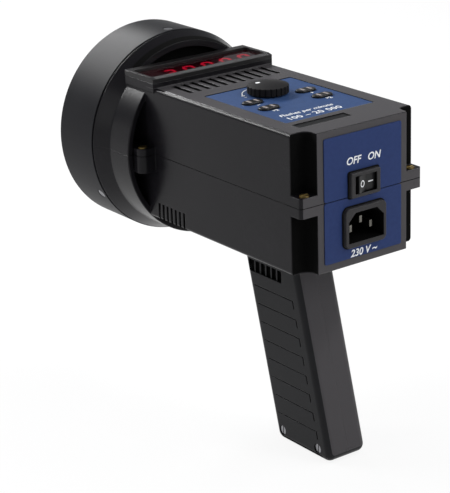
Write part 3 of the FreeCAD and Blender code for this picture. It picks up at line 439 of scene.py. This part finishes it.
NODE_FINISH = {
    "casing_plastic": ["upper_casing", "lower_casing"],
    "bezel_plastic": ["display_bezel"],
    "hood_plastic": ["hood", "lens_ring"],
    "grip_plastic": ["grip_left", "grip_right"],
    "gloss_black": [*BUTTON_MARKS, "switch_rocker", "tact_switches", "trigger_transformer"],
    "socket_plastic": ["switch_housing", "mains_inlet"],
    "knob_black": ["knob"],
    "rubber_black": ["lens_seal"],
    "blue_film": ["panel_overlay"],
    "blue_rear_film": ["rear_label_upper", "rear_label_lower"],
    "dark_film": ["name_plate"],
    "print_white": ["knob_pointer"],
    "red_window": ["display_window"],
    "lens_clear": ["front_lens"],
    "tube_quartz": ["flash_tube", "fuse"],
    "digit_face": ["digit_modules"],
    "mirror_metal": ["reflector"],
    "ceramic_white": ["lamp_base"],
    "nickel_metal": ["trigger_clip", "lamp_pins", "inlet_pins"],
    "brass_metal": ["case_screws", "fuse_clips", "switch_terminals"],
    "steel_metal": ["hood_screws", "grip_screws", "grip_bolts", "potentiometer"],
    "aluminium_metal": ["heat_sink", "knob_shaft"],
    "board_green": ["display_board", "control_board", "main_board"],
    "core_steel": ["transformer_core"],
    "coil_tape": ["transformer_coil"],
    "sleeve_blue": ["discharge_capacitors"],
}


def dress_nodes():
    for finish, names in NODE_FINISH.items():
        for name in names:
            part = nodes[name]
            part.data.materials.clear()
            part.data.materials.append(FINISHES[finish])


# Helpers for new pieces
def mesh_from(bm, name):
    bmesh.ops.recalc_face_normals(bm, faces=bm.faces)
    mesh = bpy.data.meshes.new(name)
    bm.to_mesh(mesh)
    bm.free()
    return mesh


def piece(name, mesh, finish, body="casing"):
    made = bpy.data.objects.new(name, mesh)
    bpy.context.scene.collection.objects.link(made)
    made.data.materials.clear()
    made.data.materials.append(FINISHES[finish])
    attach(made, body)


def new_vertices(result):
    # The new vertices that an extrusion made.
    return [v for v in result["geom"] if isinstance(v, bmesh.types.BMVert)]


def add_slab(bm, outline, thickness, matrix, rim=0.0):
    # A flat outline in its own plane, given a thickness and put in place. With a rim it is a ring, and
    # the rim is its width.
    faces = [bm.faces.new([bm.verts.new(Vector((x, y, 0))) for x, y in outline])]
    if rim:
        faces[0].normal_update()
        inset = bmesh.ops.inset_region(bm, faces=faces, thickness=rim, use_even_offset=True,
                                       use_boundary=True)
        bmesh.ops.delete(bm, geom=faces, context="FACES")
        faces = inset["faces"]
    flat = list({v for face in faces for v in face.verts})
    top = new_vertices(bmesh.ops.extrude_face_region(bm, geom=faces))
    bmesh.ops.translate(bm, verts=top, vec=(0, 0, thickness))
    bmesh.ops.transform(bm, verts=flat + top, matrix=matrix)


def plane_at(origin, right, up):
    # A frame whose X runs along right, Y along up, and Z out of the surface.
    right, up = Vector(right).normalized(), Vector(up).normalized()
    out = right.cross(up)
    matrix = Matrix((right, up, out)).transposed().to_4x4()
    matrix.translation = Vector(origin)
    return matrix


# A capital's height as a share of the font's size, and how finely its curves are stepped
CAPITAL_SHARE = 0.72
LETTER_STEPS = 4


def lettering(name, text, height, matrix, italic=0.0, align="CENTER", bold=0.0, spacing=1.0):
    curve = bpy.data.curves.new(name, "FONT")
    curve.body = text
    curve.size = height / CAPITAL_SHARE
    curve.align_x = align
    curve.align_y = "CENTER"
    curve.extrude = PRINT_HEIGHT / 2
    curve.offset = bold
    curve.shear = italic
    curve.space_character = spacing
    curve.resolution_u = LETTER_STEPS
    holder = bpy.data.objects.new(name, curve)
    bpy.context.scene.collection.objects.link(holder)
    bpy.context.view_layer.update()
    mesh = bpy.data.meshes.new_from_object(holder)
    bpy.data.objects.remove(holder)
    mesh.transform(Matrix.Translation((0, 0, PRINT_HEIGHT / 2)))
    mesh.transform(matrix)
    piece(name, mesh, "print_white")


def arc_points(radius, start, end, count):
    step = (end - start) / count
    turns = [math.radians(start + i * step) for i in range(count + 1)]
    return [(radius * math.cos(turn), radius * math.sin(turn)) for turn in turns]


def circle_points(radius, count, centre=(0, 0)):
    return [(centre[0] + dx, centre[1] + dy) for dx, dy in arc_points(radius, 0, 360, count)[:-1]]


def rectangle(half_width, half_height):
    # The outline of a rectangle about its middle.
    return [(-half_width, -half_height), (half_width, -half_height), (half_width, half_height),
            (-half_width, half_height)]


def rounded(half_width, half_height, radius, steps=5):
    # The outline of a rectangle with round corners, about its middle.
    outline = []
    for side_x, side_y, start in ((1, 1, 0), (-1, 1, 90), (-1, -1, 180), (1, -1, 270)):
        x, y = side_x * (half_width - radius), side_y * (half_height - radius)
        outline += [(x + dx, y + dy) for dx, dy in arc_points(radius, start, start + 90, steps)]
    return outline


# Faces on top are laid out as seen with the lamp upwards, so their right is -X
def top_plane(x, y, z):
    return plane_at((x, y, z), (-1, 0, 0), (0, -1, 0))


def panel_plane(x, y):
    return top_plane(x, y, panel_top + PRINT_LIFT)


# Print on the control panel: the knob's arc with a dot at each end, the marks and the words
DOT_SIDES = 12


def panel_print():
    arc_r, arc_width, arc_steps, dot_r = 0.0143, 0.00062, 40, 0.00105
    arc_ends = (20, 160)
    bm = bmesh.new()
    outer = arc_points(arc_r + arc_width / 2, *arc_ends, arc_steps)
    inner = arc_points(arc_r - arc_width / 2, *arc_ends, arc_steps)
    matrix = panel_plane(knob_centre.x, knob_centre.y)
    add_slab(bm, outer + inner[::-1], PRINT_HEIGHT, matrix)
    for turn in arc_ends:
        end = (arc_r * math.cos(math.radians(turn)), arc_r * math.sin(math.radians(turn)))
        add_slab(bm, circle_points(dot_r, DOT_SIDES, end), PRINT_HEIGHT, matrix)
    piece("panel_arc", mesh_from(bm, "panel_arc"), "print_white")
    beside, forward, sign_height = 0.0142, 0.0014, 0.0022
    for name, sign, side in (("arc_minus", "−", 1), ("arc_plus", "+", -1)):
        lettering(name, sign, sign_height, panel_plane(side * beside, knob_centre.y - forward), bold=0.0001)
    behind, mark_height = 0.0056, 0.0026
    for name, mark in BUTTON_MARKS.items():
        x, y = middle_of(*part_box(name))[:2]
        lettering(name + "_mark", mark, mark_height, panel_plane(x, y + behind), bold=0.00012)
    left, words_y, numbers_y = 0.0245, panel_rear - 0.0125, panel_rear - 0.0058
    lettering("panel_words", "Flashes per minute", 0.0034, panel_plane(left, words_y), italic=0.25,
              align="LEFT", bold=0.00006)
    lettering("panel_numbers", "100 – 20 000", 0.0044, panel_plane(left, numbers_y), align="LEFT",
              bold=0.0001, spacing=1.12)


# Two light stripes on each push-button
def button_stripes():
    half_width, half_length, spread = 0.00085, 0.0021, 0.0025
    for name in BUTTON_MARKS:
        low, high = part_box(name)
        x, y = middle_of(low, high)[:2]
        bm = bmesh.new()
        for side in (-1, 1):
            matrix = top_plane(x + side * spread, y, high[2] + PRINT_LIFT)
            add_slab(bm, rectangle(half_width, half_length), PRINT_HEIGHT, matrix)
        piece(name + "_stripes", mesh_from(bm, name + "_stripes"), "stripe_grey", name)


# Seven-segment digits on the display modules, behind the red window
LIT = {"2": "abged", "0": "abcdef", " ": ""}
READING = " 20000"
DIGIT_WIDE = 0.0072
DIGIT_TALL = 0.0142
DIGIT_SLANT = math.tan(math.radians(9))
SEGMENT_WIDTH = 0.0017
SEGMENT_GAP = 0.00015
SEGMENT_HEIGHT = 0.0002


def segment_outline(kind):
    w, h, t, gap = DIGIT_WIDE / 2, DIGIT_TALL / 2, SEGMENT_WIDTH, SEGMENT_GAP
    if kind in "agd":
        y = {"a": h - t / 2, "g": 0.0, "d": -h + t / 2}[kind]
        x0, x1 = -w + gap + t / 2, w - gap - t / 2
        outline = [(x0, y), (x0 + t / 2, y + t / 2), (x1 - t / 2, y + t / 2), (x1, y),
                   (x1 - t / 2, y - t / 2), (x0 + t / 2, y - t / 2)]
    else:
        side = 1 if kind in "bc" else -1
        up = 1 if kind in "bf" else -1
        x = side * (w - t / 2)
        low, high = sorted((up * (gap + t * 0.1), up * (h - t / 2 - gap)))
        outline = [(x, low), (x + t / 2, low + t / 2), (x + t / 2, high - t / 2), (x, high),
                   (x - t / 2, high - t / 2), (x - t / 2, low + t / 2)]
    return [(px + py * DIGIT_SLANT, py) for px, py in outline]


def digits():
    pitch = (digits_high[0] - digits_low[0]) / len(READING)
    centre_y = middle_of(digits_low, digits_high)[1]
    point_r, point_centre = 0.0008, (DIGIT_WIDE / 2 + 0.0012, -DIGIT_TALL / 2 + 0.0008)
    lit, unlit = bmesh.new(), bmesh.new()
    for i, sign in enumerate(READING):
        matrix = top_plane(digits_high[0] - (i + 0.5) * pitch, centre_y, digits_high[2] + PRINT_LIFT)
        for kind in "abcdefg":
            add_slab(lit if kind in LIT[sign] else unlit, segment_outline(kind), SEGMENT_HEIGHT, matrix)
        add_slab(unlit, circle_points(point_r, DOT_SIDES, point_centre), SEGMENT_HEIGHT, matrix)
    piece("segments_lit", mesh_from(lit, "segments_lit"), "segment_red")
    piece("segments_unlit", mesh_from(unlit, "segments_unlit"), "segment_dark")


# Fine ribs in the sloping rear edge of the display bezel, and a painted highlight: a light line round its
# window
def bezel_trim():
    slope_length, slope_drop, end_share, rib_height = 0.003, 0.0007, 0.06, 0.0003
    slope = Vector((0, slope_length, -slope_drop))
    start = Vector((0, bezel_high[1] - slope_length, bezel_high[2])) + slope * end_share
    length = slope.length * (1 - 2 * end_share)
    pitch, half, reach = 0.00125, 0.00036, bezel_high[0] - 0.0022
    bm = bmesh.new()
    for i in range(int(2 * reach / pitch) + 1):
        matrix = plane_at((i * pitch - reach, start.y, start.z), (1, 0, 0), slope * -1)
        add_slab(bm, [(-half, 0), (half, 0), (half, -length), (-half, -length)], rib_height, matrix)
    piece("bezel_ribs", mesh_from(bm, "bezel_ribs"), "rib_grey_and_highlight")
    # The painted highlight: a thin light ring on top of the window, inside its edge
    margin, corner, line, lift = 0.0003, 0.0018, 0.0004, 0.0001
    half_x = (window_high[0] - window_low[0]) / 2 - margin
    half_y = (window_high[1] - window_low[1]) / 2 - margin
    x, y = middle_of(window_low, window_high)[:2]
    bm = bmesh.new()
    add_slab(bm, rounded(half_x, half_y, corner), lift, top_plane(x, y, window_high[2]), rim=line)
    piece("window_highlight", mesh_from(bm, "window_highlight"), "rib_grey_and_highlight")


# The rear panel is laid out as seen from behind, so its right is -X
def rear_plane(z):
    return plane_at((0, label_rear + PRINT_LIFT, z), (-1, 0, 0), (0, 0, 1))


# Thin black rings under the flanges of the switch and the inlet, showing round their edges as painted
# shade:
# the flanges' shaded sides and their shadow on the label
def shade_rings():
    wider, rim, thickness = 0.0008, 0.0022, 0.0003
    switch_corner, inlet_corner = 0.0012, 0.0038
    flanges = {"switch_shade_ring": (switch_low, switch_high, switch_corner),
               "inlet_shade_ring": (inlet_low, inlet_high, inlet_corner)}
    for name, (low, high, corner) in flanges.items():
        bm = bmesh.new()
        outline = rounded((high[0] - low[0]) / 2 + wider, (high[2] - low[2]) / 2 + wider, corner)
        add_slab(bm, outline, thickness, rear_plane(middle_of(low, high)[2]), rim=rim)
        piece(name, mesh_from(bm, name), "rubber_black")


# Words above the switch and below the inlet
def rear_print():
    height, above, below = 0.0040, 0.0062, 0.0041
    words = {"switch_words": ("OFF   ON", switch_high[2] + above),
             "inlet_words": ("230 V ~", inlet_low[2] - below)}
    for name, (text, z) in words.items():
        lettering(name, text, height, rear_plane(z), italic=0.2, bold=0.00012)


# A ring and a bar on the two slopes of the rocker, at the tilt that it rests in
def rocker_marks():
    tilt, pivot_depth = math.radians(11), 0.0055
    half, crown, dip, mark_lift = 0.0064, 0.005, 0.0009, 0.00005
    along, down = 0.52, 0.48
    pivot = Vector((0, switch_high[1] - pivot_depth, switch_z))
    turn = Matrix.Translation(pivot) @ Matrix.Rotation(tilt, 4, "Z")
    ring = {"outline": circle_points(0.0019, 28), "rim": 0.0006}
    bar = {"outline": rectangle(0.0017, 0.0003)}
    for name, side, shape in (("rocker_ring", 1, ring), ("rocker_bar", -1, bar)):
        right = Vector((-half, -side * dip, 0)).normalized()
        up = Vector((0, 0, 1))
        local = plane_at((side * half * along, crown - dip * down, 0), right, up)
        local.translation += right.cross(up) * mark_lift
        bm = bmesh.new()
        add_slab(bm, thickness=PRINT_HEIGHT, matrix=local, **shape)
        bmesh.ops.transform(bm, verts=bm.verts, matrix=turn)
        piece(name, mesh_from(bm, name), "print_white", "rocker")


# Stage, light and camera
def paper():
    # White paper that keeps a soft shadow and looks white to the camera and in reflections.
    finish = Finish("floor_paper", Roughness=0.9, Specular_IOR_Level=0.1)
    fibre = finish.noise(30.0, detail=4.0)
    finish.drive(Base_Color=finish.blend(fibre, rgb(244, 244, 244), rgb(250, 250, 250)))
    rays = ("Is Camera Ray", "Is Glossy Ray", "Is Transmission Ray")
    seen, glossy, through = [finish.node("ShaderNodeLightPath", output=ray) for ray in rays]
    share = (seen + glossy + through).maths("MINIMUM", 1.0) * PAPER_GLOW
    glow = finish.node("ShaderNodeEmission", inputs={"Color": WHITE, "Strength": 1.0})
    plain = Value(finish, finish.shader.outputs["BSDF"])
    factor, first, second = 0, 1, 2
    mixed = finish.node("ShaderNodeMixShader", inputs={factor: share, first: plain, second: glow})
    finish.link(finish.tree.nodes["Material Output"].inputs["Surface"], mixed)
    return finish.material


def backdrop():
    # A round paper floor whose edge turns up into a low wall.
    level = cad_box[0][2] - FLOOR_GAP
    bm = bmesh.new()
    bmesh.ops.create_circle(bm, cap_ends=True, segments=FLOOR_SIDES, radius=FLOOR_RADIUS)
    rim = [e for e in bm.edges if e.is_boundary]
    top = new_vertices(bmesh.ops.extrude_edge_only(bm, edges=rim))
    bmesh.ops.translate(bm, verts=top, vec=(0, 0, WALL_HEIGHT))
    bmesh.ops.translate(bm, verts=bm.verts, vec=(0, FLOOR_CENTRE_Y, level))
    floor = bpy.data.objects.new("floor", mesh_from(bm, "floor"))
    bpy.context.scene.collection.objects.link(floor)
    floor.data.materials.append(paper())


def sky():
    world = bpy.data.worlds.new("studio")
    bpy.context.scene.world = world
    world.use_nodes = True
    background = world.node_tree.nodes["Background"]
    background.inputs["Color"].default_value = SKY_COLOUR
    background.inputs["Strength"].default_value = SKY_LEVEL


def direction_from(azimuth, elevation):
    a, e = math.radians(azimuth), math.radians(elevation)
    return Vector((math.sin(a) * math.cos(e), -math.cos(a) * math.cos(e), math.sin(e)))


# Each softbox: name, azimuth, elevation, distance, size and power
SOFTBOXES = [
    ("back_strip", 12, 33, 1.3, (1.5, 0.09), 22.0),
    ("top_strip", 238, 50, 1.2, (0.9, 0.12), 6.0),
    ("left_box", 84, 24, 1.2, (0.2, 0.7), 1.5),
    ("right_box", 205, 26, 1.3, (0.5, 0.6), 4.5),
]


def studio():
    for name, azimuth, elevation, distance, size, power in SOFTBOXES:
        lamp = bpy.data.lights.new(name, "AREA")
        lamp.shape = "RECTANGLE"
        lamp.size, lamp.size_y = size
        lamp.energy = power
        holder = bpy.data.objects.new(name, lamp)
        bpy.context.scene.collection.objects.link(holder)
        back = direction_from(azimuth, elevation)
        turn = back.to_track_quat("Z", "Y").to_matrix().to_4x4()
        holder.matrix_world = Matrix.Translation(LAMP_AIM + back * distance) @ turn


def camera():
    data = bpy.data.cameras.new("camera")
    data.sensor_fit = "HORIZONTAL"
    data.sensor_width = SENSOR_WIDTH
    data.lens = CAMERA_LENS
    holder = bpy.data.objects.new("camera", data)
    bpy.context.scene.collection.objects.link(holder)
    back = direction_from(CAMERA_AZIMUTH, CAMERA_ELEVATION)
    right = Vector((0, 0, 1)).cross(back).normalized()
    up = back.cross(right)
    roll = math.radians(CAMERA_ROLL)
    turned_right = right * math.cos(roll) + up * math.sin(roll)
    turned_up = up * math.cos(roll) - right * math.sin(roll)
    matrix = Matrix((turned_right, turned_up, back)).transposed().to_4x4()
    matrix.translation = CAMERA_AIM + back * CAMERA_DISTANCE
    holder.matrix_world = matrix
    bpy.context.scene.camera = holder


dress_nodes()
panel_print()
button_stripes()
digits()
bezel_trim()
shade_rings()
rear_print()
rocker_marks()
backdrop()
sky()
studio()
camera()
bpy.context.scene.view_settings.view_transform = "Standard"
